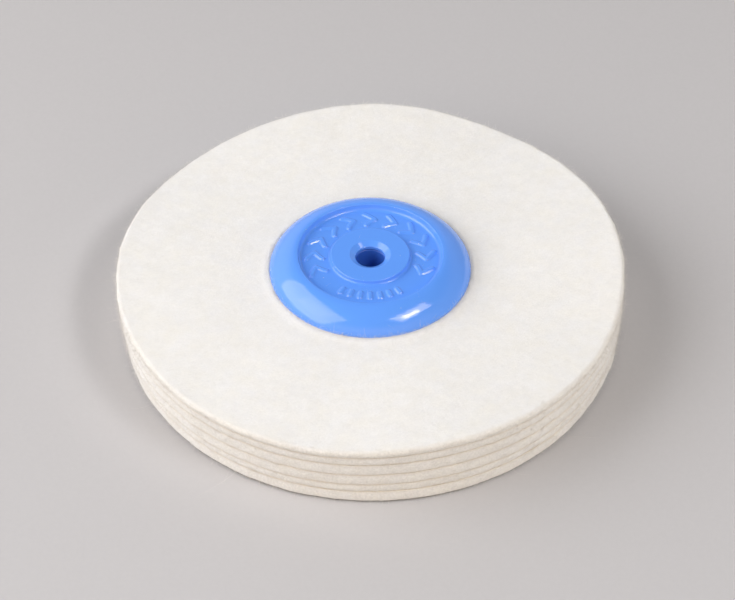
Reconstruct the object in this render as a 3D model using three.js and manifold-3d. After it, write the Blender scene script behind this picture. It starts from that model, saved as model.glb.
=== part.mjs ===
// Felt polishing wheel for a lapidary bench: six soft felt discs clamped between two identical
// domed plastic caps. Millimetres, +Z up. The wheel lies flat with its spin axis along Z, and the
// origin is the middle of the hub on that axis. The back cap's crest is the lowest point.
import * as THREE from "three";
import { mergeVertices } from "three/addons/utils/BufferGeometryUtils.js";
import Module from "manifold-3d";

const wasm = await Module();
wasm.setup();

// The whole wheel
const WHEEL_RADIUS = 75;
const HUB_RADIUS = 30;
const HUB_HALF_HEIGHT = 13.75;
const BORE_RADIUS = 4.4;
const TURN_SEGMENTS = 48;
const GAP = 0.1;

// Felt: thin where the caps squeeze it, swollen and drooping towards the rim
const CLAMPED_HALF_HEIGHT = 7.3;
const RIM_FRONT_HEIGHT = 7.45;
const RIM_THICKNESSES = [2.6, 3.0, 4.2, 4.1, 2.9, 4.1];
const DROOP_POWER = 1.5;
const DROOP_RADIUS = 52;
const RIM_ROUND = 0.6;
const DISC_COUNT = RIM_THICKNESSES.length;

// Cap: a dome from the flange edge up to a narrow flat crest, a sunk floor, and a boss in the middle
const CREST_RADIUS = 22.3;
const RECESS_RADIUS = 21.5;
const RECESS_DEPTH = 1.95;
const RECESS_DRAFT = 0.4;
const FLOOR_ROUND = 0.6;
const BOSS_RADIUS = 11.75;
const BOSS_DROP = 0.6;
const BOSS_ROUND = 0.3;
const DOME_FULLNESS = 1.3;
const DOME_STEPS = 6;
const WALL = 2.2;
const COUNTERSINK_RADIUS = 6.1;
const COUNTERSINK_DEPTH = 1.1;
const BORE_LAND = 1;
const RIB_WIDTH = 1.6;

// Core sleeve, and the tubes of the caps that it joins
const SLEEVE_RADIUS = 6.4;
const TUBE_BORE_RADIUS = 6.6;
const TUBE_RADIUS = 9;
const TUBE_END = 0.15;
const SLEEVE_END_GAP = 0.3;

// Drive pins: they run through the felt and into blind sockets in both caps
const PIN_COUNT = 6;
const PIN_CIRCLE_RADIUS = 17;
const PIN_RADIUS = 1.6;
const PIN_CLEARANCE = 0.2;
const PIN_SEGMENTS = 12;
const SOCKET_TOP = 10.6;
const POST_RADIUS = 3.4;

// Raised marks on the sunk floor: a long arc of chevrons and a short arc of bars
const MARK_RADIUS = 16.6;
const MARK_HEIGHT = 0.5;
const MARK_ROOT = 0.4;
const CHEVRON_COUNT = 11;
const CHEVRON_PITCH = 22;
const CHEVRON_REACH = 2.3;
const CHEVRON_LEAN = 2.6;
const CHEVRON_STROKE = 1.6;
const BAR_COUNT = 7;
const BAR_PITCH = 10;
const BAR_LENGTH = 2.8;
const BAR_WIDTH = 1.2;

const FLOOR = HUB_HALF_HEIGHT - RECESS_DEPTH;
const BOSS_TOP = HUB_HALF_HEIGHT - BOSS_DROP;
const LAND_TOP = BOSS_TOP - COUNTERSINK_DEPTH;
const LAND_END = LAND_TOP - BORE_LAND;
const FOOT = CLAMPED_HALF_HEIGHT + GAP;
const PLATE_UNDERSIDE = FLOOR - WALL;
const DEGREE = Math.PI / 180;

const blueCapPlastic = new THREE.MeshStandardMaterial({ color: 0x5f9bf5, roughness: 0.28, metalness: 0 });
const blueSleevePlastic = new THREE.MeshStandardMaterial({ color: 0x3f78d8, roughness: 0.4, metalness: 0 });
const whiteFelt = new THREE.MeshStandardMaterial({ color: 0xf1eee7, roughness: 0.95, metalness: 0 });
const pinSteel = new THREE.MeshStandardMaterial({ color: 0xb9bcc0, roughness: 0.35, metalness: 1 });

// A closed outline of [radius, height] points, turned once round the Z axis.
function turned(outline) {
  const points = [...outline, outline[0]].map(([radius, height]) => new THREE.Vector2(radius, height));
  const geometry = new THREE.LatheGeometry(points, TURN_SEGMENTS);
  geometry.rotateX(Math.PI / 2);
  return geometry;
}

// A round bar along Z between two heights, off the axis by a radius and an angle.
function bar(radius, low, high, circleRadius, angle) {
  const geometry = new THREE.CylinderGeometry(radius, radius, high - low, PIN_SEGMENTS);
  geometry.rotateX(Math.PI / 2);
  geometry.translate(circleRadius, 0, (low + high) / 2);
  geometry.rotateZ(angle);
  return geometry;
}

function solidOf(geometry) {
  const bare = geometry.clone();
  bare.deleteAttribute("normal");
  bare.deleteAttribute("uv");
  const merged = mergeVertices(bare);
  return new wasm.Manifold(new wasm.Mesh({
    numProp: 3,
    vertProperties: new Float32Array(merged.attributes.position.array),
    triVerts: new Uint32Array(merged.index.array),
  }));
}

function geometryOf(solid) {
  const mesh = solid.getMesh();
  const geometry = new THREE.BufferGeometry();
  geometry.setAttribute("position", new THREE.BufferAttribute(mesh.vertProperties, 3));
  geometry.setIndex(new THREE.BufferAttribute(mesh.triVerts, 1));
  geometry.computeVertexNormals();
  return geometry;
}

function combine(base, added, removed) {
  const joined = added.reduce((solid, piece) => solid.add(solidOf(piece)), solidOf(base));
  return geometryOf(removed.reduce((solid, piece) => solid.subtract(solidOf(piece)), joined));
}

function named(name, geometry, material) {
  const mesh = new THREE.Mesh(geometry, material);
  mesh.name = name;
  return mesh;
}

function pinAngles() {
  return Array.from({ length: PIN_COUNT }, (_, i) => (i / PIN_COUNT) * 2 * Math.PI);
}

// Height of the surface between two neighbouring discs, counted from the front face (0) to the
// back face (DISC_COUNT). Under the caps the stack is squeezed evenly; outside it swells and droops.
function feltSurface(index, radius) {
  const underCap = CLAMPED_HALF_HEIGHT * (1 - (2 * index) / DISC_COUNT);
  const above = RIM_THICKNESSES.slice(0, index);
  const atRim = above.reduce((height, thickness) => height - thickness, RIM_FRONT_HEIGHT);
  const reach = Math.max(0, (radius - HUB_RADIUS) / (WHEEL_RADIUS - HUB_RADIUS));
  return underCap + (atRim - underCap) * reach ** DROOP_POWER;
}

function feltDisc(index) {
  const top = (radius) => feltSurface(index, radius) - GAP / 2;
  const bottom = (radius) => feltSurface(index + 1, radius) + GAP / 2;
  const shoulder = WHEEL_RADIUS - RIM_ROUND;
  const faceRadii = [TUBE_RADIUS + SLEEVE_END_GAP, HUB_RADIUS, DROOP_RADIUS, shoulder];
  const underside = faceRadii.map((radius) => [radius, bottom(radius)]);
  const face = faceRadii.map((radius) => [radius, top(radius)]).reverse();
  const rim = [
    [WHEEL_RADIUS, bottom(WHEEL_RADIUS) + RIM_ROUND],
    [WHEEL_RADIUS, top(WHEEL_RADIUS) - RIM_ROUND],
  ];
  const holes = pinAngles().map((angle) =>
    bar(PIN_RADIUS + PIN_CLEARANCE, -HUB_HALF_HEIGHT, HUB_HALF_HEIGHT, PIN_CIRCLE_RADIUS, angle));
  return combine(turned([...underside, ...rim, ...face]), [], holes);
}

// Quarter of a rounded cone from the flange edge up to the crest.
function domeOutline() {
  return Array.from({ length: DOME_STEPS }, (_, i) => {
    const angle = (i / DOME_STEPS) * (Math.PI / 2);
    const out = Math.cos(angle) ** DOME_FULLNESS;
    const up = Math.sin(angle) ** DOME_FULLNESS;
    return [
      CREST_RADIUS + (HUB_RADIUS - CREST_RADIUS) * out,
      FOOT + (HUB_HALF_HEIGHT - FOOT) * up,
    ];
  });
}

function capShell() {
  const underside = [
    [TUBE_BORE_RADIUS, LAND_END],
    [TUBE_BORE_RADIUS, TUBE_END],
    [TUBE_RADIUS, TUBE_END],
    [TUBE_RADIUS, PLATE_UNDERSIDE],
    [RECESS_RADIUS - WALL, PLATE_UNDERSIDE],
    [CREST_RADIUS, HUB_HALF_HEIGHT - WALL],
    [CREST_RADIUS + WALL, HUB_HALF_HEIGHT - 1.3 * WALL],
    [HUB_RADIUS - 1.2 * WALL, FOOT + 0.6 * WALL],
    [HUB_RADIUS - 1.1 * WALL, FOOT],
  ];
  const face = [
    [CREST_RADIUS, HUB_HALF_HEIGHT],
    [RECESS_RADIUS, HUB_HALF_HEIGHT],
    [RECESS_RADIUS - RECESS_DRAFT, FLOOR + FLOOR_ROUND],
    [RECESS_RADIUS - RECESS_DRAFT - FLOOR_ROUND, FLOOR],
    [BOSS_RADIUS + FLOOR_ROUND, FLOOR],
    [BOSS_RADIUS, FLOOR + FLOOR_ROUND],
    [BOSS_RADIUS, BOSS_TOP - BOSS_ROUND],
    [BOSS_RADIUS - BOSS_ROUND, BOSS_TOP],
    [COUNTERSINK_RADIUS, BOSS_TOP],
    [BORE_RADIUS, LAND_TOP],
    [BORE_RADIUS, LAND_END],
  ];
  return turned([...underside, ...domeOutline(), ...face]);
}

// Upright web under the cap, from the tube out to the flange edge.
function capRib(angle) {
  const outline = new THREE.Shape([
    new THREE.Vector2(TUBE_RADIUS - 0.5 * WALL, FOOT),
    new THREE.Vector2(HUB_RADIUS - WALL, FOOT),
    new THREE.Vector2(HUB_RADIUS - WALL, FOOT + 0.6 * WALL),
    new THREE.Vector2(CREST_RADIUS + 1.4 * WALL, HUB_HALF_HEIGHT - 1.3 * WALL),
    new THREE.Vector2(CREST_RADIUS, HUB_HALF_HEIGHT - 0.8 * WALL),
    new THREE.Vector2(RECESS_RADIUS - WALL, FLOOR - 0.5 * WALL),
    new THREE.Vector2(TUBE_RADIUS - 0.5 * WALL, FLOOR - 0.5 * WALL),
  ]);
  const geometry = new THREE.ExtrudeGeometry(outline, { depth: RIB_WIDTH, bevelEnabled: false });
  geometry.translate(0, 0, -RIB_WIDTH / 2);
  geometry.rotateX(Math.PI / 2);
  geometry.rotateZ(angle);
  return geometry;
}

// A flat raised mark: its outline is drawn about the mark circle, +X pointing outwards.
function raisedMark(points, angle) {
  const outline = new THREE.Shape(points.map(([out, along]) => new THREE.Vector2(MARK_RADIUS + out, along)));
  const geometry = new THREE.ExtrudeGeometry(outline, { depth: MARK_HEIGHT + MARK_ROOT, bevelEnabled: false });
  geometry.translate(0, 0, FLOOR - MARK_ROOT);
  geometry.rotateZ(angle);
  return geometry;
}

function chevron(angle) {
  const tail = (CHEVRON_LEAN + CHEVRON_STROKE) / 2;
  return raisedMark([
    [-CHEVRON_REACH, tail - CHEVRON_STROKE],
    [0, -tail],
    [CHEVRON_REACH, tail - CHEVRON_STROKE],
    [CHEVRON_REACH, tail],
    [0, CHEVRON_STROKE - tail],
    [-CHEVRON_REACH, tail],
  ], angle);
}

function shortBar(angle) {
  const out = BAR_LENGTH / 2;
  const along = BAR_WIDTH / 2;
  return raisedMark([[-out, -along], [out, -along], [out, along], [-out, along]], angle);
}

// Evenly spaced marks, centred on one direction.
function markArc(mark, count, pitch, centre) {
  return Array.from({ length: count }, (_, i) => mark((centre + (i - (count - 1) / 2) * pitch) * DEGREE));
}

function cap() {
  const ribAngles = pinAngles().map((angle) => angle + Math.PI / PIN_COUNT);
  const posts = pinAngles().map((angle) => bar(POST_RADIUS, FOOT, SOCKET_TOP, PIN_CIRCLE_RADIUS, angle));
  const sockets = pinAngles().map((angle) =>
    bar(PIN_RADIUS + PIN_CLEARANCE, 0, SOCKET_TOP, PIN_CIRCLE_RADIUS, angle));
  const marks = [
    ...markArc(chevron, CHEVRON_COUNT, CHEVRON_PITCH, 90),
    ...markArc(shortBar, BAR_COUNT, BAR_PITCH, -90),
  ];
  return combine(capShell(), [...ribAngles.map(capRib), ...posts, ...marks], sockets);
}

function coreSleeve() {
  const end = LAND_END - SLEEVE_END_GAP;
  return turned([[BORE_RADIUS, -end], [SLEEVE_RADIUS, -end], [SLEEVE_RADIUS, end], [BORE_RADIUS, end]]);
}

function buildFelt() {
  const felt = new THREE.Group();
  for (let i = 0; i < DISC_COUNT; i += 1) {
    felt.add(named(`felt_disc_${i + 1}`, feltDisc(i), whiteFelt));
  }
  return felt;
}

function buildHub() {
  const hub = new THREE.Group();
  const capGeometry = cap();
  const backCap = named("back_cap", capGeometry, blueCapPlastic);
  backCap.rotation.x = Math.PI;
  hub.add(named("front_cap", capGeometry, blueCapPlastic), backCap);
  hub.add(named("core_sleeve", coreSleeve(), blueSleevePlastic));
  const pinEnd = SOCKET_TOP - SLEEVE_END_GAP;
  pinAngles().forEach((angle, i) => {
    hub.add(named(`drive_pin_${i + 1}`, bar(PIN_RADIUS, -pinEnd, pinEnd, PIN_CIRCLE_RADIUS, angle), pinSteel));
  });
  return hub;
}

const wheel = new THREE.Group();
wheel.add(buildFelt(), buildHub());

export default wheel;
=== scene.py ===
# %% [markdown]
# # A felt polishing wheel
# A polishing wheel for stones is a stack of soft wool discs, squeezed in the middle between two
# plastic caps and left loose at the rim. This lesson builds it in Blender round a plain model
# that already has the right sizes. The plain model is loaded first and never changed: each of
# its solids is swapped for a finer piece that fills the same place. Its outer box is kept, so
# that the finished wheel can be held against it at the end.

# %% Load the plain model
from math import cos, pi, radians, sin

import bmesh
import bpy
import numpy as np
from mathutils import Matrix, Vector


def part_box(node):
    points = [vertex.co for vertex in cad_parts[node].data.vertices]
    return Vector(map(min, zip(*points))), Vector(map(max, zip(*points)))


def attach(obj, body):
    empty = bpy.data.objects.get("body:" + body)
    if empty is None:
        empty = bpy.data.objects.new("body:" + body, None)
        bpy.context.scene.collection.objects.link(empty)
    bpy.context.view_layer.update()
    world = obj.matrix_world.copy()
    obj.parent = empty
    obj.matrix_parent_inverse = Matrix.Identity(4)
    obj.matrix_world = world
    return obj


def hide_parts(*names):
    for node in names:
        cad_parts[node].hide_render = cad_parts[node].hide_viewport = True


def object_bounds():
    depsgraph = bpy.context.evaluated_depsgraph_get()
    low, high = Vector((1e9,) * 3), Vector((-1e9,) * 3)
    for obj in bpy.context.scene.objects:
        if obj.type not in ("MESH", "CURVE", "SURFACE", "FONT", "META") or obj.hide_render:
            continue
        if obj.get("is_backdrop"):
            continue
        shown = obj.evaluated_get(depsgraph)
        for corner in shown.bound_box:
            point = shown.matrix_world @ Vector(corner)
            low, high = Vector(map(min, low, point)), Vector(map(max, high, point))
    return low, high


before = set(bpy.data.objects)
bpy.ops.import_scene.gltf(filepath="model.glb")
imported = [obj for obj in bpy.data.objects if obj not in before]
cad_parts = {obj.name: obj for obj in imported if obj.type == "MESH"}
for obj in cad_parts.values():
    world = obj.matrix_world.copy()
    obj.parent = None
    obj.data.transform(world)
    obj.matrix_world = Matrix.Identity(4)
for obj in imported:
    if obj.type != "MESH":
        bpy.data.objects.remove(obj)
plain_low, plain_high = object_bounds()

print("plain model, mm:", [round(size * 1000, 1) for size in plain_high - plain_low])

# %% [markdown]
# ## Measures
# Lengths are easiest to read in millimetres, so MM turns them into Blender's metres. The wheel's
# radius, its table and its hub come from the plain model. The hub's middle is the origin, and
# the spin axis is Z.

# %% Measures taken from the plain model
MM = 0.001
TOUCHING = 1e-7
TABLE = plain_low.z
RIM = plain_high.x
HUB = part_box("front_cap")[1].x
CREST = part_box("front_cap")[1].z
BORE = 4.4 * MM
CLAMPED_HALF = 7.3 * MM
DISC_NODES = sorted(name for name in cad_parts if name.startswith("felt_disc"))
PIN_NODES = sorted(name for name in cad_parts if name.startswith("drive_pin"))
DISCS = len(DISC_NODES)

print(f"rim {RIM / MM:.1f}, hub {HUB / MM:.1f}, crest {CREST / MM:.2f}, table {TABLE / MM:.2f} mm")

# %% [markdown]
# ## Camera
# The wheel is looked at from a little under 45 degrees with a long lens, from nearly a metre
# away, so its far side is hardly smaller than its near side. The camera stands on a line from
# the point where the axis meets the table, and aims a few millimetres beyond that point.

# %% Camera
VIEW_ELEVATION = radians(43.8)
VIEW_DISTANCE = 934 * MM
AIM_ASIDE = -0.8 * MM
AIM_ABOVE = 5.9 * MM
LENS = 151.4

foot_of_axis = Vector((0, 0, TABLE))
towards_camera = Vector((0, -cos(VIEW_ELEVATION), sin(VIEW_ELEVATION)))
picture_up = Vector((0, sin(VIEW_ELEVATION), cos(VIEW_ELEVATION)))
aim = foot_of_axis + Vector((AIM_ASIDE, 0, 0)) + picture_up * AIM_ABOVE

camera = bpy.data.objects.new("camera", bpy.data.cameras.new("camera"))
bpy.context.scene.collection.objects.link(camera)
camera.data.lens = LENS
camera.data.sensor_width = 36
camera.location = foot_of_axis + towards_camera * VIEW_DISTANCE
camera.rotation_euler = (aim - camera.location).to_track_quat("-Z", "Y").to_euler()
bpy.context.scene.camera = camera
bpy.context.scene.view_settings.view_transform = "Standard"
print("camera at, mm:", [round(place / MM) for place in camera.location])

# %% [markdown]
# ## Node helpers
# Every finish here is made of nodes. They could be laid out by hand in the shader editor, but a
# script can name each step. Four short helpers keep that readable: one adds a node and fills its
# inputs, with a number or with another node's output, one does sums, one turns one range of
# values smoothly into another, and one mixes two colours.

# %% Node helpers
def add(tree, kind, values=None, **settings):
    node = tree.nodes.new(kind)
    for name, value in settings.items():
        setattr(node, name, value)
    for socket, value in (values or {}).items():
        if isinstance(value, bpy.types.NodeSocket):
            tree.links.new(value, node.inputs[socket])
        else:
            node.inputs[socket].default_value = value
    return node


def sums(tree, operation, first, second=0.0):
    return add(tree, "ShaderNodeMath", {0: first, 1: second}, operation=operation).outputs[0]


def ramp(tree, value, low, high, to_low=0.0, to_high=1.0):
    node = add(tree, "ShaderNodeMapRange", {
        "Value": value, "From Min": low, "From Max": high, "To Min": to_low, "To Max": to_high,
    }, interpolation_type="SMOOTHSTEP")
    return node.outputs["Result"]


def blend_colour(tree, factor, first, second, mode="MIX"):
    node = tree.nodes.new("ShaderNodeMix")
    node.data_type = "RGBA"
    node.blend_type = mode
    sockets = [node.inputs[0], node.inputs[6], node.inputs[7]]
    for socket, value in zip(sockets, (factor, first, second)):
        if isinstance(value, bpy.types.NodeSocket):
            tree.links.new(value, socket)
        else:
            socket.default_value = value
    return node.outputs[2]


# %% [markdown]
# An effect that more than one finish needs is kept in a node group, and each finish places the
# group with values of its own. One helper starts a group with named inputs and outputs, and the
# other places it in a material.

# %% Group helpers
def new_group(name, inputs, outputs):
    """A node group. Inputs are (name, default), and every socket is a number but Vector."""
    tree = bpy.data.node_groups.new(name, "ShaderNodeTree")
    for socket, default in inputs:
        kind = "NodeSocketVector" if socket == "Vector" else "NodeSocketFloat"
        made = tree.interface.new_socket(name=socket, in_out="INPUT", socket_type=kind)
        if kind == "NodeSocketFloat":
            made.default_value = default
    for socket in outputs:
        tree.interface.new_socket(name=socket, in_out="OUTPUT", socket_type="NodeSocketFloat")
    return tree, tree.nodes.new("NodeGroupInput").outputs, tree.nodes.new("NodeGroupOutput").inputs


def use_group(tree, group, place, **values):
    node = tree.nodes.new("ShaderNodeGroup")
    node.node_tree = group
    tree.links.new(place, node.inputs["Vector"])
    for socket, value in values.items():
        if isinstance(value, bpy.types.NodeSocket):
            tree.links.new(value, node.inputs[socket])
        else:
            node.inputs[socket].default_value = value
    return node.outputs


# %% [markdown]
# ## Light
# A studio lights such a wheel with one big softbox on the left and a smaller lamp higher up on
# the right. Gloss plastic shows both as clear shapes, so they are real rectangles at the right
# size and place, not points. Brightness is given as a share of white paper, and the lamp's watts
# follow from its area. Each has a brighter middle, where its bulb is. A low white card on the
# right fills the shadow, and is kept out of the gloss.

# %% Softboxes
LAMP_WATTS_PER_AREA = pi


def softbox(name, azimuth, elevation, distance, width, height, roll, brightness):
    """A rectangle of light that faces the wheel. Azimuth 0 is to the right, 90 behind the wheel."""
    lamp = bpy.data.lights.new(name, "AREA")
    lamp.shape = "RECTANGLE"
    lamp.size = width
    lamp.size_y = height
    lamp.energy = brightness * LAMP_WATTS_PER_AREA * width * height
    holder = bpy.data.objects.new(name, lamp)
    bpy.context.scene.collection.objects.link(holder)
    around, above = radians(azimuth), radians(elevation)
    direction = Vector((cos(around) * cos(above), sin(around) * cos(above), sin(above)))
    facing = direction.to_track_quat("Z", "Y").to_matrix().to_4x4()
    turned = facing @ Matrix.Rotation(radians(roll), 4, "Z")
    holder.matrix_world = Matrix.Translation(direction * distance) @ turned
    holder.visible_camera = False
    return holder


softbox("softbox_left", -171, 38, 1.00, 1.20, 0.92, 0, 2.57)
softbox("softbox_left_middle", -165, 44, 0.95, 0.50, 0.38, 0, 0.9)
softbox("lamp_right", -30, 53, 1.30, 0.75, 0.40, 0, 4.6)
softbox("lamp_right_middle", -33, 51.5, 1.28, 0.33, 0.17, 0, 14.0)
card = softbox("card_right", -5, 11, 1.2, 1.1, 0.5, 0, 1.1)
card.visible_glossy = False

# %% [markdown]
# The room does the rest. Its ceiling is dark, the left wall is pale and cool, the right wall is
# grey, and the wall behind the camera is a little warm. Six big planes could stand for it, but
# a sky that changes with direction is quicker and casts no hard shadow. It is bright near the
# horizon and black overhead, so it lights the wheel's side more than its face, and it puts a
# pale band along the foot of the dome.

# %% The room
LEFT_WALL = (0.83, 0.87, 0.96, 1)
RIGHT_WALL = (0.36, 0.36, 0.36, 1)
NEAR_WALL = (0.84, 0.70, 0.55, 1)
room = bpy.data.worlds.new("room")
bpy.context.scene.world = room
room.use_nodes = True
sky = room.node_tree
direction = sky.nodes.new("ShaderNodeTexCoord").outputs["Generated"]
towards = add(sky, "ShaderNodeSeparateXYZ", {"Vector": direction}).outputs
to_the_right = ramp(sky, towards["X"], -0.8, 0.8)
to_the_near_wall = ramp(sky, towards["Y"], -0.8, -0.1, 1.0, 0.0)
walls = blend_colour(sky, to_the_right, LEFT_WALL, RIGHT_WALL)
walls = blend_colour(sky, to_the_near_wall, walls, NEAR_WALL)
below_ceiling = ramp(sky, towards["Z"], 0.45, 0.75, 1.0, 0.02)
background = sky.nodes["Background"]
sky.links.new(walls, background.inputs["Color"])
sky.links.new(below_ceiling, background.inputs["Strength"])
print("room nodes:", len(sky.nodes))

# %% [markdown]
# ## Shared effects
# Four effects turn up on more than one finish. *Clouds* are slow changes of tone, as in wool, a
# painted table or moulded plastic. *Specks* are small scattered spots: dust on plastic, or bits
# of straw in wool. *Tangle* is a net of fine curled threads. *Grain* is the faint unevenness
# that a polished mould leaves. Each is a group that puts out plain numbers, and each material
# gives it sizes of its own.

# %% Clouds
clouds, given, out = new_group("clouds", [("Vector", None), ("Size", 0.01), ("Strength", 0.02)], ["Tone"])
tree = clouds
how_often = sums(tree, "DIVIDE", 1.0, given["Size"])
slow = add(tree, "ShaderNodeTexNoise", {"Vector": given["Vector"], "Scale": how_often, "Detail": 3.0})
swing = sums(tree, "SUBTRACT", slow.outputs[0], 0.5)
swing = sums(tree, "MULTIPLY", swing, given["Strength"])
tree.links.new(sums(tree, "ADD", swing, 1.0), out["Tone"])

# %% Specks
specks, given, out = new_group("specks", [("Vector", None), ("Spacing", 0.01), ("Share", 0.3),
                                          ("Radius", 0.05)], ["Mask"])
tree = specks
how_often = sums(tree, "DIVIDE", 1.0, given["Spacing"])
cells = add(tree, "ShaderNodeTexVoronoi", {"Vector": given["Vector"], "Scale": how_often})
draw = add(tree, "ShaderNodeSeparateColor", {"Color": cells.outputs["Color"]})
chosen = sums(tree, "LESS_THAN", draw.outputs["Red"], given["Share"])
size = sums(tree, "MULTIPLY", given["Radius"], sums(tree, "ADD", draw.outputs["Green"], 0.4))
inside = sums(tree, "LESS_THAN", cells.outputs["Distance"], size)
tree.links.new(sums(tree, "MULTIPLY", chosen, inside), out["Mask"])

# %% Tangle
tangle, given, out = new_group("tangle", [("Vector", None), ("Size", 0.001), ("Curl", 1.2)],
                               ["Threads", "Fuzz"])
tree = tangle
how_often = sums(tree, "DIVIDE", 1.0, given["Size"])
THREAD_LAYERS = 3
threads = None
for layer in range(THREAD_LAYERS):
    turned = add(tree, "ShaderNodeMapping", {
        "Vector": given["Vector"],
        "Rotation": (0.4 * layer, 0.7 * layer, 1.05 * layer),
        "Scale": (1.0, 1.0 + 0.5 * layer, 1.0),
    })
    curls = add(tree, "ShaderNodeTexNoise", {
        "Vector": turned.outputs[0], "Scale": how_often, "Detail": 2.0, "Distortion": given["Curl"],
    })
    off_line = sums(tree, "ABSOLUTE", sums(tree, "SUBTRACT", curls.outputs[0], 0.5))
    thread = ramp(tree, off_line, 0.0, 0.06, 1.0, 0.0)
    threads = thread if threads is None else sums(tree, "MAXIMUM", threads, thread)
soft = add(tree, "ShaderNodeTexNoise", {"Vector": given["Vector"], "Scale": how_often, "Detail": 5.0,
                                        "Roughness": 0.65})
tree.links.new(threads, out["Threads"])
tree.links.new(soft.outputs[0], out["Fuzz"])

# %% Grain
grain, given, out = new_group("grain", [("Vector", None), ("Size", 0.001)], ["Height"])
tree = grain
how_often = sums(tree, "DIVIDE", 1.0, given["Size"])
fine = add(tree, "ShaderNodeTexNoise", {"Vector": given["Vector"], "Scale": how_often, "Detail": 4.0,
                                        "Roughness": 0.5})
tree.links.new(fine.outputs[0], out["Height"])

print("groups:", [group.name for group in bpy.data.node_groups])

# %% [markdown]
# ## Wool felt
# Pressed wool is off-white, and a cut edge is a little yellower than a face, because there the
# eye looks into the ends of the fibres. The grooves between two discs are darkened to a tan with
# painted shade, and the front disc's cut edge gets a faint touch of it. A disc could have a
# material for each, but then the colour would jump at a line. Here the cut and the painted shade
# are painted on the mesh as numbers, so one material serves every disc and changes colour
# gradually round a corner. Wool has a soft sheen and no gloss at all.

# %% Felt material
def start_material(name):
    material = bpy.data.materials.new(name)
    material.use_nodes = True
    tree = material.node_tree
    place = tree.nodes.new("ShaderNodeTexCoord").outputs["Object"]
    return material, tree, tree.nodes["Principled BSDF"], place


WOOL_FACE = (0.898, 0.874, 0.84, 1)
WOOL_CUT = (0.90, 0.872, 0.83, 1)
# Tan of the painted shade in the grooves between discs and on the front disc's cut edge
WOOL_PAINTED_SHADE = (0.79, 0.69, 0.56, 1)
STRAW = (0.30, 0.20, 0.10, 1)

felt, tree, shader, place = start_material("wool_felt")
cut = add(tree, "ShaderNodeAttribute", attribute_name="cut").outputs["Fac"]
painted_shade = add(tree, "ShaderNodeAttribute", attribute_name="painted_shade").outputs["Fac"]
wide = use_group(tree, clouds, place, Size=0.014, Strength=0.07)["Tone"]
narrow = use_group(tree, clouds, place, Size=0.0022, Strength=0.08)["Tone"]
beige = use_group(tree, clouds, place, Size=0.005, Strength=0.10)["Tone"]
warmth = ramp(tree, beige, 0.9, 1.1, 0.985, 1.015)
net = use_group(tree, tangle, place, Size=0.0011, Curl=1.4)
ends = use_group(tree, clouds, place, Size=0.0006, Strength=ramp(tree, cut, 0, 1, 0.08, 0.34))["Tone"]
straw = use_group(tree, specks, place, Spacing=0.016, Share=0.12, Radius=0.022)["Mask"]

colour = blend_colour(tree, cut, WOOL_FACE, WOOL_CUT)
# Painted shade: the grooves and the front disc's edge are mixed towards the darker tan
colour = blend_colour(tree, painted_shade, colour, WOOL_PAINTED_SHADE)
tone = sums(tree, "MULTIPLY", wide, narrow)
tone = sums(tree, "MULTIPLY", tone, ends)
tone = sums(tree, "MULTIPLY", tone, ramp(tree, net["Threads"], 0, 1, 0.98, 1.025))
toned = blend_colour(tree, 1.0, colour, add(tree, "ShaderNodeCombineColor", {
    "Red": tone, "Green": sums(tree, "MULTIPLY", tone, warmth), "Blue": sums(tree, "MULTIPLY", tone, beige),
}).outputs[0], "MULTIPLY")
tree.links.new(blend_colour(tree, straw, toned, STRAW), shader.inputs["Base Color"])

height = sums(tree, "ADD", sums(tree, "MULTIPLY", net["Threads"], 0.5), net["Fuzz"])
bump = add(tree, "ShaderNodeBump", {"Height": height, "Strength": 0.5, "Distance": 0.00016})
tree.links.new(bump.outputs[0], shader.inputs["Normal"])
shader.inputs["Roughness"].default_value = 0.95
shader.inputs["Specular IOR Level"].default_value = 0.15
shader.inputs["Sheen Weight"].default_value = 0.15
shader.inputs["Sheen Roughness"].default_value = 0.6
print("felt nodes:", len(tree.nodes))

# %% [markdown]
# Loose fibres stand out of the felt. They are single hairs, so they only need a colour that
# changes a little from one to the next.

# %% Loose wool material
loose_wool, tree, shader, place = start_material("loose_wool")
tone = use_group(tree, clouds, place, Size=0.003, Strength=0.25)["Tone"]
tinted = blend_colour(tree, 1.0, (0.86, 0.82, 0.77, 1), add(tree, "ShaderNodeCombineColor", {
    "Red": tone, "Green": tone, "Blue": tone,
}).outputs[0], "MULTIPLY")
tree.links.new(tinted, shader.inputs["Base Color"])
shader.inputs["Roughness"].default_value = 0.8
shader.inputs["Sheen Weight"].default_value = 0.2
print("loose wool nodes:", len(tree.nodes))
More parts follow.
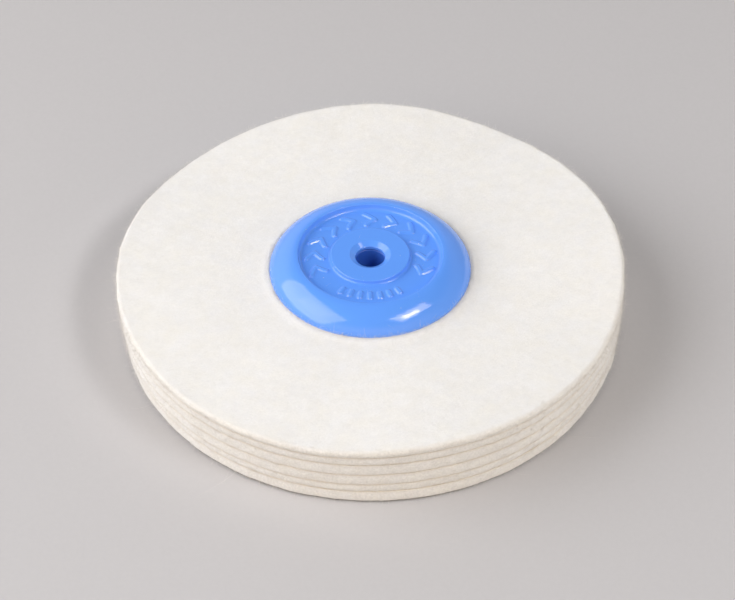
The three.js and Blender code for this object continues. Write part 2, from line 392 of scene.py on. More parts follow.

# %% [markdown]
# ## Blue plastic
# The caps are light blue moulded plastic with a polished face, which shows the lamps as clear
# shapes. It is never quite even: the mould leaves a faint unevenness, handling leaves slightly
# duller patches, and a few bits of dust stick to it. The sleeve in the bore is the same plastic,
# turned, so it is duller, and it is given a darker blue.

# %% Plastic materials
def plastic(name, blue, roughness, dull, dust_share):
    material, tree, shader, place = start_material(name)
    patches = use_group(tree, clouds, place, Size=0.011, Strength=dull)["Tone"]
    shade = use_group(tree, clouds, place, Size=0.02, Strength=0.05)["Tone"]
    skin = use_group(tree, grain, place, Size=0.0009)["Height"]
    dust = use_group(tree, specks, place, Spacing=0.0028, Share=dust_share, Radius=0.035)["Mask"]
    tinted = blend_colour(tree, 1.0, blue, add(tree, "ShaderNodeCombineColor", {
        "Red": shade, "Green": shade, "Blue": shade,
    }).outputs[0], "MULTIPLY")
    dusty = blend_colour(tree, sums(tree, "MULTIPLY", dust, 0.7), tinted, (0.75, 0.78, 0.85, 1))
    tree.links.new(dusty, shader.inputs["Base Color"])
    rough = sums(tree, "MULTIPLY", patches, roughness)
    rough_dust = sums(tree, "MULTIPLY", dust, 0.8)
    tree.links.new(sums(tree, "MAXIMUM", rough, rough_dust), shader.inputs["Roughness"])
    height = sums(tree, "ADD", skin, sums(tree, "MULTIPLY", dust, 3.0))
    bump = add(tree, "ShaderNodeBump", {"Height": height, "Strength": 0.12, "Distance": 0.00003})
    tree.links.new(bump.outputs[0], shader.inputs["Normal"])
    shader.inputs["IOR"].default_value = 1.6
    shader.inputs["Specular Tint"].default_value = (1.0, 0.82, 0.95, 1)
    return material


cap_plastic = plastic("blue_cap_plastic", (0.130, 0.353, 0.99, 1), 0.10, 0.5, 0.22)
sleeve_plastic = plastic("blue_sleeve_plastic", (0.045, 0.16, 0.62, 1), 0.35, 0.4, 0.0)
print("plastics:", cap_plastic.name, sleeve_plastic.name)

# %% [markdown]
# The drive pins are drawn steel. Drawing leaves fine lines along a pin, which roughen it across.

# %% Steel material
pin_steel, tree, shader, place = start_material("pin_steel")
along = add(tree, "ShaderNodeMapping", {"Vector": place, "Scale": (1.0, 1.0, 0.02)}).outputs[0]
lines = use_group(tree, grain, along, Size=0.0003)["Height"]
tree.links.new(ramp(tree, lines, 0.3, 0.7, 0.22, 0.42), shader.inputs["Roughness"])
tree.links.new(blend_colour(tree, lines, (0.50, 0.50, 0.52, 1), (0.68, 0.68, 0.70, 1)),
               shader.inputs["Base Color"])
shader.inputs["Metallic"].default_value = 1.0
print("steel nodes:", len(tree.nodes))

# %% [markdown]
# ## Turning a piece
# Nearly every piece of this wheel is round, so it is an outline turned about Z. The outline is
# a closed loop of points, and each becomes a ring. Height and radius may change round the ring,
# which is how a felt disc gets its waves. A ring of faces joins each ring to the next, and the
# last to the first, so the piece is always one closed skin. A Screw modifier would turn an
# outline too, but it can't change the height round the ring.

# %% Turned pieces
def link_mesh(name, points, faces, materials):
    mesh = bpy.data.meshes.new(name)
    mesh.from_pydata(points.tolist(), [], faces)
    for material in materials:
        mesh.materials.append(material)
    mesh.shade_smooth()
    piece = bpy.data.objects.new(name, mesh)
    bpy.context.scene.collection.objects.link(piece)
    return piece


def ring_faces(rings, segments):
    """Four-cornered faces of a closed loop of rings."""
    ring = np.arange(rings)[:, None]
    segment = np.arange(segments)[None, :]
    next_ring, next_segment = (ring + 1) % rings, (segment + 1) % segments
    corners = [
        ring * segments + segment,
        ring * segments + next_segment,
        next_ring * segments + next_segment,
        next_ring * segments + segment,
    ]
    return np.stack(corners, axis=-1).reshape(-1, 4).tolist()


def turned_piece(name, radius, height, materials):
    """radius and height are arrays of [ring, segment]; the outline runs anticlockwise seen along Y."""
    rings, segments = radius.shape
    angle = np.linspace(0, 2 * pi, segments, endpoint=False)[None, :]
    points = np.stack([radius * np.cos(angle), radius * np.sin(angle), height], axis=-1)
    return link_mesh(name, points.reshape(-1, 3), ring_faces(rings, segments), materials)


# %% [markdown]
# A moulded or turned piece has no knife edges. So an outline is given by its sharp corners, each
# with a rounding, and the next helper puts an arc at each corner, as a bevel would.

# %% Rounded outlines
def filleted(corners, spacing, steps=4):
    """A closed outline of (radius, height, rounding) corners in metres, with arcs at the corners.

    The straight stretches get a point close to each end, which keeps them flat when the piece
    is shaded smooth, and further points no more than spacing apart.
    """
    places = [Vector(corner[:2]) for corner in corners]
    count = len(corners)
    outline = []
    for i, (place, (_, _, rounding)) in enumerate(zip(places, corners)):
        before, after = places[i - 1], places[(i + 1) % count]
        back, on = (before - place).normalized(), (after - place).normalized()
        half = back.angle(on) / 2
        if rounding > 0:
            inset = rounding / np.tan(half)
            centre = place + (back + on).normalized() * rounding / sin(half)
            start, end = place + back * inset - centre, place + on * inset - centre
            swing = start.angle_signed(end)
            arc = [centre + Matrix.Rotation(-swing * k / steps, 2) @ start for k in range(steps + 1)]
        else:
            arc = [place]
        if outline:
            outline.extend(straight(outline[-1], arc[0], spacing))
        outline.extend(arc)
    outline.extend(straight(outline[-1], outline[0], spacing))
    return np.array([tuple(point) for point in outline])


SHORTEST_STRETCH = 0.5 * MM
CLOSE_TO_END = 0.06 * MM


def straight(start, end, spacing):
    """Points between the ends of a stretch: one close to each end, and more at an even spacing."""
    length = (end - start).length
    if length < SHORTEST_STRETCH:
        return []
    shares = [CLOSE_TO_END / length, 1 - CLOSE_TO_END / length]
    between = int(length / spacing)
    shares += [(k + 1) / (between + 1) for k in range(between)]
    return [start.lerp(end, share) for share in sorted(shares)]


# %% [markdown]
# ## Caps
# A cap is one moulding. From the felt it rises in a steep rounded cone to a narrow crest, drops
# into a sunk floor, and has a raised boss with a countersunk bore in the middle. The cone is not
# part of a circle: it is fuller than a straight line and flatter than an arc, which a sine and a
# cosine raised to the same power give. Underneath, the cap is hollow, with a tube that holds the
# sleeve. The whole of it, inside and out, is one turned outline.

# %% Measures of a cap
SEGMENTS = 460
FOOT = CLAMPED_HALF + 0.1 * MM
CREST_RADIUS = 22.3 * MM
RECESS_RADIUS = 21.5 * MM
FLOOR = CREST - 1.95 * MM
BOSS_RADIUS = 11.75 * MM
BOSS_TOP = CREST - 0.6 * MM
LAND_TOP = BOSS_TOP - 1.1 * MM
LAND_END = LAND_TOP - 1.0 * MM
WALL = 2.2 * MM
CEILING = 10.7 * MM
TUBE_RADIUS = 9 * MM
TUBE_BORE = 6.6 * MM
DOME_FULLNESS = 1.3
DOME_STEPS = 22
print(f"boss top {BOSS_TOP / MM:.2f}, floor {FLOOR / MM:.2f}, flange foot {FOOT / MM:.2f} mm")

# %% Outline of a cap
def dome_points():
    """From the crest down to the flange edge."""
    angles = np.linspace(pi / 2, 0, DOME_STEPS + 1)[1:]
    out = np.cos(angles) ** DOME_FULLNESS
    up = np.sin(angles) ** DOME_FULLNESS
    radii = CREST_RADIUS + (HUB - CREST_RADIUS) * out
    heights = FOOT + (CREST - FOOT) * up
    return [(radius, height, 0) for radius, height in zip(radii, heights)]


cap_corners = [
    (BORE, LAND_END, 0.08 * MM),
    (BORE, LAND_TOP, 0.25 * MM),
    (6.1 * MM, BOSS_TOP, 0.3 * MM),
    (BOSS_RADIUS, BOSS_TOP, 0.35 * MM),
    (BOSS_RADIUS + 0.1 * MM, FLOOR, 0.8 * MM),
    (RECESS_RADIUS - 0.5 * MM, FLOOR, 1.1 * MM),
    (RECESS_RADIUS, CREST, 0.3 * MM),
    (CREST_RADIUS, CREST, 0),
    *dome_points(),
    (HUB - 1.1 * WALL, FOOT, 0.2 * MM),
    (HUB - 1.2 * WALL, FOOT + 0.6 * WALL, 0.4 * MM),
    (CREST_RADIUS + WALL, CREST - 1.3 * WALL, 1.0 * MM),
    (CREST_RADIUS, CREST - WALL, 0.6 * MM),
    (RECESS_RADIUS - WALL, CEILING, 0.6 * MM),
    (TUBE_RADIUS, CEILING, 0.6 * MM),
    (TUBE_RADIUS, 0.15 * MM, 0.2 * MM),
    (TUBE_BORE, 0.15 * MM, 0.2 * MM),
    (TUBE_BORE, LAND_END, 0.1 * MM),
]
plain_outline = filleted(cap_corners, spacing=2.5 * MM)
print("cap outline:", len(plain_outline), "points")

# %% [markdown]
# The floor carries raised marks, a long arc of chevrons and a short arc of bars. They could be
# cut as solids and joined on, but a join leaves a hard seam. Here they are pushed up out of a
# fine grid, by their distance from the middle line of each stroke, so each has the round
# shoulders that a moulded mark has and grows out of the floor without a seam.

# %% Finer rings under the marks
MARK_RADIUS = 16.6 * MM
MARK_BAND = 3.2 * MM
MARK_RINGS = 44


def with_mark_rings(outline):
    """Swaps the floor's coarse points for evenly spaced fine ones across the band of marks."""
    on_floor = np.abs(outline[:, 1] - FLOOR) < TOUCHING
    in_band = on_floor & (np.abs(outline[:, 0] - MARK_RADIUS) < MARK_BAND)
    first = np.flatnonzero(in_band)[0]
    band = np.linspace(MARK_RADIUS - MARK_BAND, MARK_RADIUS + MARK_BAND, MARK_RINGS)
    band = np.stack([band, np.full(MARK_RINGS, FLOOR)], axis=1)
    return np.concatenate([outline[:first], band, outline[first:][~in_band[first:]]])


cap_outline = with_mark_rings(plain_outline)
print("with the marks' rings:", len(cap_outline), "points")

# %% Raised marks
MARK_HEIGHT = 0.45 * MM
STROKE_TOP = 0.38 * MM
STROKE_FOOT = 0.98 * MM
CHEVRON_PITCH = 22
BAR_PITCH = 10
CHEVRONS = [radians(90 + CHEVRON_PITCH * i) for i in range(-5, 6)]
BARS = [radians(-90 + BAR_PITCH * i) for i in range(-3, 4)]
CHEVRON_STROKES = [((-2.4, 1.4), (0, -1.4)), ((0, -1.4), (2.4, 1.4))]
BAR_STROKES = [((-1.0, 0), (1.0, 0))]


def distance_to_stroke(out, along, start, end):
    """How far points of the floor are from a straight stroke drawn on it."""
    start, end = np.array(start) * MM, np.array(end) * MM
    line = end - start
    share = ((out - start[0]) * line[0] + (along - start[1]) * line[1]) / (line @ line)
    share = np.clip(share, 0, 1)
    return np.hypot(out - start[0] - share * line[0], along - start[1] - share * line[1])


def mark_relief(radius, angle):
    """Height of the raised marks above the floor."""
    nearest = np.full(radius.shape, 1.0)
    for centres, strokes in ((CHEVRONS, CHEVRON_STROKES), (BARS, BAR_STROKES)):
        for centre in centres:
            turn = (angle - centre + pi) % (2 * pi) - pi
            for start, end in strokes:
                reach = distance_to_stroke(radius - MARK_RADIUS, turn * MARK_RADIUS, start, end)
                nearest = np.minimum(nearest, reach)
    rise = np.clip((STROKE_FOOT - nearest) / (STROKE_FOOT - STROKE_TOP), 0, 1)
    return MARK_HEIGHT * rise * rise * (3 - 2 * rise)


print("marks:", len(CHEVRONS), "chevrons and", len(BARS), "bars")

# %% [markdown]
# The wheel can be turned over, so both faces have the same cap. The back one is made in the same
# way and turned over.

# %% Both caps
def make_cap(name, node, facing_back):
    angle = np.linspace(0, 2 * pi, SEGMENTS, endpoint=False)[None, :]
    radius = np.repeat(cap_outline[:, :1], SEGMENTS, axis=1)
    height = np.repeat(cap_outline[:, 1:], SEGMENTS, axis=1)
    floor_rings = np.abs(cap_outline[:, 1] - FLOOR) < TOUCHING
    relief = mark_relief(radius, np.repeat(angle, len(cap_outline), axis=0))
    height = height + relief * floor_rings[:, None]
    cap = turned_piece(name, radius, height, [cap_plastic])
    if facing_back:
        cap.data.transform(Matrix.Rotation(pi, 4, "X"))
    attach(cap, "root")
    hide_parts(node)
    return cap


front_cap = make_cap("hub_cap_front", "front_cap", False)
back_cap = make_cap("hub_cap_back", "back_cap", True)
print("cap faces:", len(front_cap.data.polygons))

# %% [markdown]
# ## Felt discs
# Six discs of soft felt lie on each other. Under the caps they are squeezed to an even
# thickness. Outside, they swell, droop under their own weight and wave up and down, and the
# lower ones droop most. One function gives the height of every surface between two discs, so
# neighbours always follow each other. It is the droop, which grows towards the rim, plus a sum
# of a few slow waves round the wheel.

# %% Heights of the felt surfaces
RIM_FRONT = 7.45 * MM
RIM_THICKNESSES = [2.6 * MM, 3.0 * MM, 4.2 * MM, 4.1 * MM, 2.9 * MM, 4.1 * MM]
DROOP_POWER = 1.5
# Waves round the rim: height, how many to a turn, and where the first crest is
RIM_WAVES = [
    (1.1 * MM, 1, 26),
    (0.7 * MM, 2, 50),
    (0.9 * MM, 4, 35),
    (0.45 * MM, 5, 80),
    (0.15 * MM, 9, 20),
]
# How much of the waves each surface follows, and how far it lifts at the left and right
WAVE_SHARES = [1.0, 0.86, 0.7, 0.52, 0.36, 0.2, 0.0]
SIDE_LIFTS = [0.0, 0.1 * MM, 0.3 * MM, 0.6 * MM, 1.0 * MM, 1.5 * MM, 2.0 * MM]


def felt_surface(index, radius, angle):
    """Surface 0 is the front face, and surface DISCS is the back face."""
    under_cap = CLAMPED_HALF * (1 - 2 * index / DISCS)
    at_rim = RIM_FRONT - sum(RIM_THICKNESSES[:index])
    wave = sum(size * np.cos(count * angle - radians(crest)) for size, count, crest in RIM_WAVES)
    at_rim = at_rim + WAVE_SHARES[index] * wave + SIDE_LIFTS[index] * np.cos(angle) ** 4
    reach = np.clip((radius - HUB) / (RIM - HUB), 0, 1) ** DROOP_POWER
    return under_cap + (at_rim - under_cap) * reach


print("felt at the rim, mm:", round(sum(RIM_THICKNESSES) / MM, 1), "thick")

# %% [markdown]
# Felt is not smooth. A ripple is a sum of many small plane waves in random directions. It gives
# the face its faint unevenness and the cut edge its ragged line, and a seed makes it come out
# the same every time.

# %% Ripple
def ripple(seed, wavelength, count=28):
    """A smooth random height over points in space, about -1 to 1."""
    random = np.random.default_rng(seed)
    directions = random.normal(size=(count, 3))
    directions /= np.linalg.norm(directions, axis=1)[:, None]
    turns = 2 * pi / (wavelength * random.uniform(0.6, 1.5, count))
    phases = random.uniform(0, 2 * pi, count)

    def height(points):
        total = np.zeros(points.shape[:-1])
        for direction, turn, phase in zip(directions, turns, phases):
            total += np.cos(points @ direction * turn + phase)
        return total / np.sqrt(count)

    return height


face_ripple = ripple(11, 9 * MM)
fine_ripple = ripple(12, 2.5 * MM)
edge_ripple = ripple(13, 1.3 * MM)
sample = np.linspace(0, 1, 1000)[:, None] * np.array([RIM, 0, 0])
print("face ripple, highest:", face_ripple(sample).max().round(1))

# %% [markdown]
# Each disc is one closed outline: along its back face, round its cut edge, and back along its
# front face to the hole. The corners of the edge are rounded, and where two discs meet, the two
# roundings make the groove, which is darkened with painted shade. The discs are not quite round
# or quite in line: each is a little short of the one above, and the lower ones bulge on the near
# side. The front disc's cut edge and corner get a faint painted shade, a little tan, and the disc
# swells up against the edge of the flange that squeezes it. The ripples come last. Sculpting
# would do for one disc, but six that must fit each other are surer by rule.

# %% Shapes of the discs
FELT_SEGMENTS = 1200
HOLE = TUBE_RADIUS + 0.3 * MM
DISC_GAP = 0.01 * MM
GROOVE_DEPTH = 0.38 * MM
EDGE_STEPS = 6
# How much painted shade darkens the front disc's cut edge and corner
LIP_PAINTED_SHADE = 0.10
SWELL = 0.42 * MM
SWELL_PLACE = 0.7 * MM
SWELL_REACH = 1.3 * MM
# How far the first disc spreads past the rim, and how far each stays short of that
SPREAD = 0.5 * MM
SHORTFALLS = [0.1 * MM, 0.3 * MM, 0.5 * MM, 0.7 * MM, 1.0 * MM, 1.2 * MM]
# How much further each disc bulges on the near side, and how far it has slipped to the right
BULGES = [0.0, 0.1 * MM, 0.3 * MM, 0.45 * MM, 0.7 * MM, 1.0 * MM]
SLIPS = [0.0, 0.0, 0.1 * MM, 0.2 * MM, 0.35 * MM, 0.5 * MM]
# Rounding of the upper and lower corner of the cut edge
UPPER_ROUNDINGS = [1.1 * MM, 0.9 * MM, 1.1 * MM, 1.1 * MM, 0.9 * MM, 1.0 * MM]
LOWER_ROUNDINGS = [0.9 * MM, 0.9 * MM, 1.1 * MM, 1.1 * MM, 0.9 * MM, 0.7 * MM]
# Rings across a face: many where it shows, few where another disc covers it
FRONT_RINGS = 56
BACK_RINGS = 44
COVERED_RINGS = 10
print("outer radii, mm:", [round((RIM + SPREAD - short) / MM, 1) for short in SHORTFALLS])

# %% Felt discs
def face_radii(count, outer):
    return [HOLE + (outer - HOLE) * (i / (count - 1)) ** 0.9 for i in range(count)]


def felt_disc(index):
    angle = np.linspace(0, 2 * pi, FELT_SEGMENTS, endpoint=False)
    outer = RIM + SPREAD - SHORTFALLS[index]
    upper, lower = UPPER_ROUNDINGS[index], LOWER_ROUNDINGS[index]
    is_front, is_back = index == 0, index == DISCS - 1
    rings, cuts, painted_shades = [], [], []

    def ring(radius, height, cut, painted_shade):
        rings.append((np.full(FELT_SEGMENTS, radius), height))
        cuts.append(cut)
        painted_shades.append(painted_shade)

    top = lambda radius: felt_surface(index, radius, angle) - DISC_GAP / 2
    bottom = lambda radius: felt_surface(index + 1, radius, angle) + DISC_GAP / 2
    for radius in face_radii(BACK_RINGS if is_back else COVERED_RINGS, outer - lower)[:-1]:
        ring(radius, bottom(radius), 0, 0)
    for step in range(EDGE_STEPS + 1):
        turn = pi / 2 * step / EDGE_STEPS
        height = bottom(outer) + lower * (1 - cos(turn))
        depth = lower if is_back else GROOVE_DEPTH
        # Painted shade darkens the lower corner into the groove, except on the back disc
        ring(outer - depth + depth * sin(turn), height, sin(turn), 0 if is_back else 1 - sin(turn))
    # On the front disc, painted shade grows faintly up the cut edge
    for share in (0.25, 0.5, 0.75):
        low, high = bottom(outer) + lower, top(outer) - upper
        ring(outer + 0.05 * MM, low + (high - low) * share, 1, LIP_PAINTED_SHADE * share if is_front else 0)
    for step in range(EDGE_STEPS, -1, -1):
        turn = pi / 2 * step / EDGE_STEPS
        height = top(outer) - upper * (1 - cos(turn))
        depth = upper if is_front else GROOVE_DEPTH
        # Painted shade darkens the upper corner into the groove; on the front disc it leaves a faint tan on
        # the edge, fading out onto the face
        tan = LIP_PAINTED_SHADE * sin(turn) if is_front else 1 - sin(turn)
        ring(outer - depth + depth * sin(turn), height, sin(turn) ** 2, tan)
    for radius in reversed(face_radii(FRONT_RINGS if is_front else COVERED_RINGS, outer - upper)[:-1]):
        ring(radius, top(radius), 0, 0)

    radius = np.stack([r for r, _ in rings])
    height = np.stack([h for _, h in rings])
    points = np.stack([radius * np.cos(angle), radius * np.sin(angle), height], axis=-1)
    reach = np.clip((radius - HUB) / (RIM - HUB), 0, 1)
    radius = radius + BULGES[index] * reach * np.clip(-np.sin(angle), 0, 1) ** 3
    on_edge = np.array(cuts)[:, None] * np.ones_like(radius)
    ragged = edge_ripple(points) * 0.025 * MM + fine_ripple(points) * 0.035 * MM
    radius = radius + on_edge * (ragged + face_ripple(points) * 0.10 * MM)
    shown_face = 1.0 if is_front or is_back else 0.0
    height = height + shown_face * reach ** 0.5 * (1 - on_edge) * (
        face_ripple(points) * 0.07 * MM + fine_ripple(points) * 0.015 * MM)
    # The squeezed felt swells up against the edge of the flange
    outside_flange = np.exp(-((radius - HUB - SWELL_PLACE) / SWELL_REACH) ** 2)
    on_top = np.arange(len(cuts))[:, None] >= len(cuts) / 2
    side = np.where(on_top, 1.0 if is_front else 0.0, -1.0 if is_back else 0.0)
    height = height + side * SWELL * outside_flange

    disc = turned_piece(f"felt_ply_{index + 1}", radius, height, [felt])
    slip = SLIPS[index] * reach.reshape(-1)
    places = np.zeros(len(slip) * 3)
    disc.data.vertices.foreach_get("co", places)
    places[0::3] += slip
    disc.data.vertices.foreach_set("co", places)
    for name, values in (("cut", cuts), ("painted_shade", painted_shades)):
        painted = disc.data.attributes.new(name, "FLOAT", "POINT")
        painted.data.foreach_set("value", np.repeat(np.array(values, float), FELT_SEGMENTS))
    disc.data.update()
    return disc


# %% All the discs
plies = []
for index, node in enumerate(DISC_NODES):
    ply = felt_disc(index)
    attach(ply, "root")
    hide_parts(node)
    plies.append(ply)
print("felt faces:", sum(len(ply.data.polygons) for ply in plies))

# %% [markdown]
# Each disc was cut from flat felt. Its flat size is printed: how far across it is, and its hole.

# %% Flat size of the discs
print("flat disc, mm:", round(2 * RIM / MM), "across, with a hole", round(2 * HOLE / MM, 1), "across")

# %% [markdown]
# ## Loose fibres
# What makes felt look soft is the fuzz: thousands of hairs too fine to see one by one, which
# blur every edge, and a few long ones that have worked loose. Hair particles would do, but real
# closed strands survive an export to any other program. A strand is a three-sided tube that
# follows a bent line and tapers to a point. It grows from a point of the felt's own mesh, so it
# always sits on the surface.

# %% Strands
def unit(vectors):
    return vectors / np.maximum(np.linalg.norm(vectors, axis=-1, keepdims=True), 1e-12)


def strands(name, random, roots, growth, lengths, thickness, curl, steps, material):
    """One closed tapered strand for each root, growing along growth and bending by curl."""
    count = len(roots)
    growth = unit(growth)
    aside = unit(np.cross(growth, random.normal(size=(count, 3))))
    across = np.cross(growth, aside)
    share = np.linspace(0, 1, steps + 1)[None, :, None]
    reach = lengths[:, None, None]
    bend = curl * random.uniform(-1, 1, (3, count, 1, 1))
    line = roots[:, None, :] + growth[:, None, :] * reach * (share - 0.35 * np.abs(bend[0]) * share ** 2)
    line = line + aside[:, None, :] * reach * bend[0] * share ** 2
    wriggle = bend[1] * share ** 2 + bend[2] * np.sin(pi * 1.5 * share) * 0.3
    line = line + across[:, None, :] * reach * wriggle
    line[..., 2] = np.maximum(line[..., 2], TABLE + 0.1 * MM)
    around = np.arange(3) * 2 * pi / 3
    spokes = aside[:, None, None, :] * np.cos(around)[:, None]
    spokes = spokes + across[:, None, None, :] * np.sin(around)[:, None]
    girth = thickness / 2 * (1 - 0.6 * share[:, :-1, None, :])
    body = (line[:, :-1, None, :] + spokes * girth).reshape(count, -1, 3)
    points = np.concatenate([body, line[:, -1:, :]], axis=1)
    tip = 3 * steps
    pattern = [(2, 1, 0)]
    for step in range(steps - 1):
        low, high = 3 * step, 3 * step + 3
        pattern += [(low + k, low + (k + 1) % 3, high + (k + 1) % 3, high + k) for k in range(3)]
    pattern += [(tip - 3 + k, tip - 3 + (k + 1) % 3, tip) for k in range(3)]
    faces = [tuple(corner + start for corner in face) for start in range(0, count * (tip + 1), tip + 1)
             for face in pattern]
    piece = link_mesh(name, points.reshape(-1, 3), faces, [material])
    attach(piece, "root")
    return piece


def surface_points(piece, wanted, random, count):
    """Random vertices of a mesh whose places pass a test, with their normals."""
    places = np.zeros(len(piece.data.vertices) * 3)
    piece.data.vertices.foreach_get("co", places)
    normals = np.zeros(len(places))
    piece.data.vertex_normals.foreach_get("vector", normals)
    places, normals = places.reshape(-1, 3), normals.reshape(-1, 3)
    passed = np.flatnonzero(wanted(places))
    chosen = passed[random.integers(0, len(passed), count)]
    return places[chosen], normals[chosen]


def from_centre(places):
    return np.hypot(places[:, 0], places[:, 1])


# %% Fuzz on the rim
RIM_FUZZ_PER_PLY = 7500
random = np.random.default_rng(21)
on_rim = lambda p: from_centre(p) > RIM - 1.6 * MM
for index, ply in enumerate(plies):
    roots, normals = surface_points(ply, on_rim, random, RIM_FUZZ_PER_PLY)
    growth = normals + random.normal(size=roots.shape) * 0.7
    lengths = random.gamma(2.5, 0.32, len(roots)) * MM
    fuzz = strands(f"rim_fuzz_{index + 1}", random, roots - normals * 0.05 * MM, growth, lengths,
                   0.065 * MM, 0.9, 3, loose_wool)
print("rim fuzz:", RIM_FUZZ_PER_PLY * len(plies), "hairs")

# %% Long loose hairs
random = np.random.default_rng(22)
starts, directions = [], []
for ply in plies:
    roots, normals = surface_points(ply, lambda p: from_centre(p) > RIM - 1.2 * MM, random, 45)
    starts.append(roots)
    directions.append(normals + random.normal(size=roots.shape) * 0.9)
starts, directions = np.concatenate(starts), np.concatenate(directions)
lengths = random.gamma(4.0, 0.8, len(starts)) * MM
stray = strands("stray_hairs", random, starts, directions, lengths, 0.05 * MM, 1.6, 10, loose_wool)
print(f"loose hairs: {len(lengths)}, the longest {lengths.max() / MM:.1f} mm")

# %% Fibres lying on the face
random = np.random.default_rng(23)
front_face = lambda p: (from_centre(p) > HUB + 0.5 * MM) & (p[:, 2] > 0.5 * RIM_FRONT)
roots, normals = surface_points(plies[0], front_face, random, 5200)
flat = random.normal(size=roots.shape)
flat[:, 2] = 0
growth = unit(flat) + normals * random.uniform(0.05, 0.5, (len(roots), 1))
lengths = random.gamma(3.0, 0.35, len(roots)) * MM
lying = strands("face_fibres", random, roots, growth, lengths, 0.03 * MM, 1.4, 4, loose_wool)
print("fibres on the face:", len(lengths))

# %% Fuzz against the flange
random = np.random.default_rng(24)
by_the_edge = lambda p: np.abs(from_centre(p) - HUB - 0.6 * MM) < 1.4 * MM
beside_flange = lambda p: by_the_edge(p) & (p[:, 2] > 0.5 * RIM_FRONT)
roots, normals = surface_points(plies[0], beside_flange, random, 3600)
outwards = roots * np.array([1, 1, 0])
radii = HUB + random.uniform(0.05, 0.9, (len(roots), 1)) * MM
roots = unit(outwards) * radii + roots * np.array([0, 0, 1])
growth = normals - unit(outwards) * random.uniform(0.0, 0.8, (len(roots), 1))
growth = growth + random.normal(size=roots.shape) * 0.6
lengths = random.gamma(2.2, 0.42, len(roots)) * MM
fringe = strands("flange_fuzz", random, roots, growth, lengths, 0.05 * MM, 1.8, 6, loose_wool)
print("hairs against the flange:", len(lengths))

# %% Lint on the cap
random = np.random.default_rng(25)
LINT_COUNT = 34
outside_cap = lambda p: (p[:, 2] > FOOT + 1 * MM) & (from_centre(p) > 6.5 * MM)
roots, normals = surface_points(front_cap, outside_cap, random, LINT_COUNT)
sideways = np.cross(normals, random.normal(size=roots.shape))
lengths = random.gamma(2.5, 0.45, len(roots)) * MM
lint = strands("cap_lint", random, roots + normals * 0.03 * MM, unit(sideways) + normals * 0.12, lengths,
               0.035 * MM, 2.0, 10, loose_wool)

# %% [markdown]
# ## Sleeve and pins
# The sleeve lines the bore between the two caps, and its ends show as a fine line just inside
# the mouth. It is a turned tube, so it is drawn like one, with each corner slightly rounded.

# %% Sleeve
sleeve_low, sleeve_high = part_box("core_sleeve")
corner_rounding = 0.25 * MM
SLEEVE_SEGMENTS = 192
sleeve_outline = filleted([
    (BORE, sleeve_low.z, corner_rounding),
    (sleeve_high.x, sleeve_low.z, corner_rounding),
    (sleeve_high.x, sleeve_high.z, corner_rounding),
    (BORE, sleeve_high.z, corner_rounding),
], spacing=3 * MM)
sleeve = turned_piece("bore_sleeve", np.repeat(sleeve_outline[:, :1], SLEEVE_SEGMENTS, axis=1),
                      np.repeat(sleeve_outline[:, 1:], SLEEVE_SEGMENTS, axis=1), [sleeve_plastic])
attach(sleeve, "root")
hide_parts("core_sleeve")
print("sleeve, mm:", [round(size / MM, 1) for size in sleeve_high - sleeve_low])

# %% [markdown]
# The six pins are plain round bars. They run through the felt into a socket in each cap, and
# keep the soft discs from slipping round. Each is a cylinder whose end edges are bevelled round.
# Its place and length come from the plain model.

# %% Pins
PIN_RADIUS = 1.6 * MM
ROUND_SEGMENTS = 48


def rounded_solid(name, maker, edges, rounding, material):
    """Rounds some edges of a bmesh and turns it into a piece."""
    bmesh.ops.bevel(maker, geom=edges, offset=rounding, segments=3, profile=0.5, affect="EDGES")
    mesh = bpy.data.meshes.new(name)
    maker.to_mesh(mesh)
    maker.free()
    mesh.materials.append(material)
    mesh.shade_smooth()
    mesh.set_sharp_from_angle(angle=radians(40))
    piece = bpy.data.objects.new(name, mesh)
    bpy.context.scene.collection.objects.link(piece)
    return piece


pin_places = []
for node in PIN_NODES:
    low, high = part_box(node)
    middle = (low + high) / 2
    pin_places.append(middle)
    maker = bmesh.new()
    bmesh.ops.create_cone(maker, cap_ends=True, segments=ROUND_SEGMENTS, radius1=PIN_RADIUS,
                          radius2=PIN_RADIUS, depth=high.z - low.z, matrix=Matrix.Translation(middle))
    ends = [edge for edge in maker.edges if abs(edge.verts[0].co.z - edge.verts[1].co.z) < 1e-6]
    pin = rounded_solid(node.replace("drive_pin", "pin"), maker, ends, 0.3 * MM, pin_steel)
    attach(pin, "root")
    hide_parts(node)
print("pins:", len(pin_places))

# %% [markdown]
# ## Webs under the caps
# A moulded cap is hollow, to save plastic and to keep it from sinking as it cools. Six thin ribs
# stiffen it, and a post round each pin holds the pin's end. None of this shows, but it is there
# if the caps are ever lifted off. It is made once, under the front cap, and turned over for the
# back.

# %% Posts and ribs
POST_RADIUS = 3.4 * MM
SOCKET_RADIUS = 1.8 * MM
RIB_WIDTH = 1.6 * MM


def add_posts(maker):
    """A hollow post round each pin, on the underside of the front cap."""
    outline = filleted([
        (SOCKET_RADIUS, FOOT, 0.2 * MM),
        (POST_RADIUS, FOOT, 0.3 * MM),
        (POST_RADIUS, CEILING + 0.05 * MM, 0),
        (SOCKET_RADIUS, CEILING + 0.05 * MM, 0),
    ], spacing=3 * MM)
    for middle in pin_places:
        post = turned_piece("post", np.repeat(outline[:, :1], ROUND_SEGMENTS, axis=1),
                            np.repeat(outline[:, 1:], ROUND_SEGMENTS, axis=1), [cap_plastic])
        post.data.transform(Matrix.Translation((middle.x, middle.y, 0)))
        maker.from_mesh(post.data)
        bpy.data.objects.remove(post)


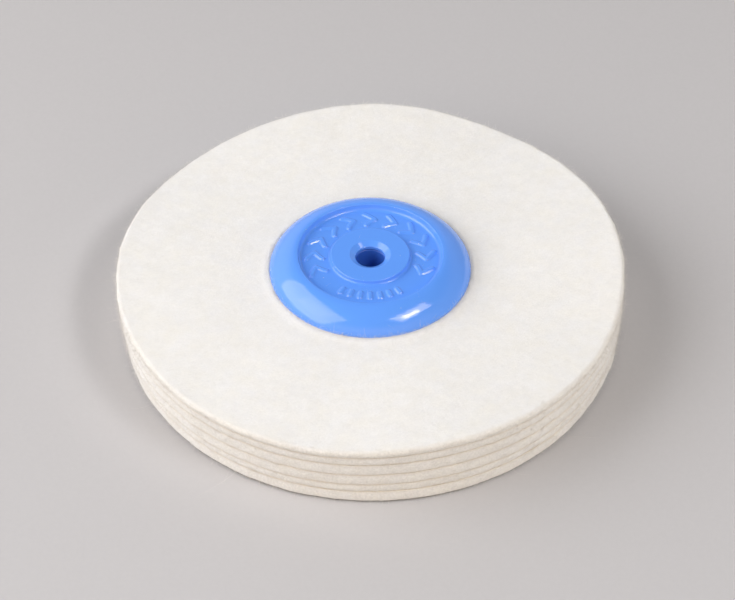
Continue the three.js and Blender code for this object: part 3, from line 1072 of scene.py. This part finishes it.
def add_ribs(maker):
    """A rib halfway between each two posts. Returns the ribs' edges."""
    edges = []
    rib_outline = [
        (TUBE_RADIUS - 0.2 * MM, FOOT),
        (HUB - 1.3 * WALL, FOOT),
        (HUB - 1.3 * WALL, FOOT + 0.6 * WALL),
        (CREST_RADIUS + WALL, CREST - 1.3 * WALL),
        (CREST_RADIUS, CREST - WALL),
        (RECESS_RADIUS - WALL, CEILING + 0.05 * MM),
        (TUBE_RADIUS - 0.2 * MM, CEILING + 0.05 * MM),
    ]
    for turn in range(len(PIN_NODES)):
        corners = [maker.verts.new((out, -RIB_WIDTH / 2, up)) for out, up in rib_outline]
        side = maker.faces.new(corners)
        grown = bmesh.ops.extrude_face_region(maker, geom=[side])["geom"]
        moved = [part for part in grown if isinstance(part, bmesh.types.BMVert)]
        bmesh.ops.translate(maker, verts=moved, vec=(0, RIB_WIDTH, 0))
        spin = Matrix.Rotation(2 * pi * (turn + 0.5) / len(PIN_NODES), 4, "Z")
        bmesh.ops.transform(maker, matrix=spin, verts=corners + moved)
        edges += [edge for edge in maker.edges if edge.verts[0] in corners + moved]
    return edges


# %% Webs of both caps
def make_webs(name, facing_back):
    maker = bmesh.new()
    add_posts(maker)
    edges = add_ribs(maker)
    bmesh.ops.recalc_face_normals(maker, faces=maker.faces)
    lowest = [edge for edge in set(edges) if all(abs(v.co.z - FOOT) < 1e-6 for v in edge.verts)]
    webs = rounded_solid(name, maker, lowest, 0.25 * MM, cap_plastic)
    if facing_back:
        webs.data.transform(Matrix.Rotation(pi, 4, "X"))
    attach(webs, "root")
    return webs


front_webs = make_webs("hub_webs_front", False)
back_webs = make_webs("hub_webs_back", True)
print("web faces:", len(front_webs.data.polygons) + len(back_webs.data.polygons))

# %% [markdown]
# ## Table
# The wheel lies on a light grey table with a very faint unevenness. The table is part of the
# stage and not of the wheel, so it is marked as such. It is big enough to fill the view from
# any side.

# %% Table
TABLE_GREY = (0.563, 0.544, 0.546, 1)
TABLE_HALF = 4
table_paint, tree, shader, place = start_material("table_paint")
tone = use_group(tree, clouds, place, Size=0.0012, Strength=0.05)["Tone"]
tree.links.new(blend_colour(tree, 1.0, TABLE_GREY, add(tree, "ShaderNodeCombineColor", {
    "Red": tone, "Green": tone, "Blue": tone,
}).outputs[0], "MULTIPLY"), shader.inputs["Base Color"])
shader.inputs["Roughness"].default_value = 0.9
table_corners = np.array([(-1, -1, 0), (1, -1, 0), (1, 1, 0), (-1, 1, 0)]) * TABLE_HALF
table_top = link_mesh("table_top", table_corners + [0, 0, TABLE], [(0, 1, 2, 3)], [table_paint])
table_top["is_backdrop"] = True
print("table at", round(TABLE / MM, 2), "mm")

# %% [markdown]
# ## Last steps
# The finished box is printed, to hold against the plain one printed at the start. They should
# differ only by the loose hairs and the soft swell of the felt.

# %% Sizes
low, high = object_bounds()
print("finished wheel, mm:", [round(size * 1000, 1) for size in high - low])
